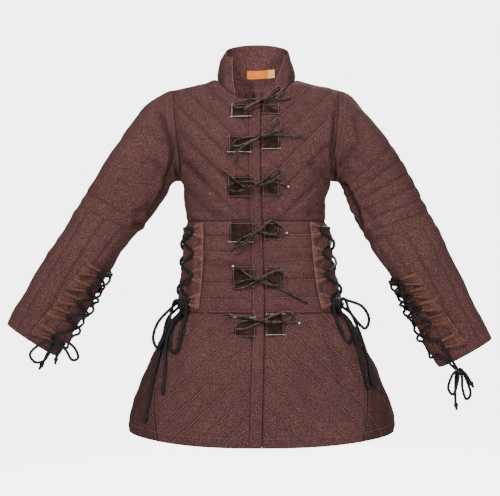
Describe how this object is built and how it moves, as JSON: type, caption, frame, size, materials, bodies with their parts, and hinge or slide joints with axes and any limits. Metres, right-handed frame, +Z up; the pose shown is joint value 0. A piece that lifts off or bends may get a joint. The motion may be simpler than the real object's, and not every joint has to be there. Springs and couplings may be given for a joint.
{
  "type": "gambeson",
  "caption": "Quilted arming jacket with standing collar, laced waist and forearms, flared skirt and leather ties down the front.",
  "frame": {"origin": "between the wearer's shoulders, at the base of the neck, where the garment hangs from the wearer", "axes": "+Z up, -Y out of the front, +X to the wearer's left"},
  "size_m": [1.0818, 0.3435, 0.8892],
  "materials": {
    "quilted_cloth": "matt woven wool, quilted",
    "suede": "matt suede",
    "tab_cloth": "matt twill, folded",
    "label_weave": "woven tape",
    "tie_leather": "satin thong",
    "black_cord": "braided cord"
  },
  "bodies": {
    "root": {"chest_front_left": "quilted_cloth", "chest_front_right": "quilted_cloth", "chest_back": "quilted_cloth", "waist_front_left": "quilted_cloth", "waist_front_right": "quilted_cloth", "waist_side_left": "quilted_cloth", "waist_side_right": "quilted_cloth", "waist_back": "quilted_cloth", "skirt_front_left": "quilted_cloth", "skirt_front_right": "quilted_cloth", "skirt_back": "quilted_cloth", "skirt_gore_left": "quilted_cloth", "skirt_gore_right": "quilted_cloth", "front_band": "quilted_cloth", "collar": "quilted_cloth", "sleeve_left": "quilted_cloth", "sleeve_right": "quilted_cloth", "patch_left_1": "suede", "patch_left_2": "suede", "patch_left_3": "suede", "patch_left_4": "suede", "patch_left_5": "suede", "patch_left_6": "suede", "patch_right_1": "suede", "patch_right_2": "suede", "patch_right_3": "suede", "patch_right_4": "suede", "patch_right_5": "suede", "patch_right_6": "suede", "waist_tabs_front_left": "tab_cloth", "waist_tabs_front_right": "tab_cloth", "waist_tabs_back_left": "tab_cloth", "waist_tabs_back_right": "tab_cloth", "arm_tabs_front_left": "tab_cloth", "arm_tabs_front_right": "tab_cloth", "arm_tabs_back_left": "tab_cloth", "arm_tabs_back_right": "tab_cloth", "label": "label_weave", "tie_1": "tie_leather", "tie_2": "tie_leather", "tie_3": "tie_leather", "tie_4": "tie_leather", "tie_5": "tie_leather", "tie_6": "tie_leather", "lace_waist_left": "black_cord", "lace_waist_right": "black_cord", "lace_arm_left": "black_cord", "lace_arm_right": "black_cord", "bow_waist_left": "black_cord", "bow_waist_right": "black_cord", "bow_arm_left": "black_cord", "bow_arm_right": "black_cord"}
  },
  "joints": []
}
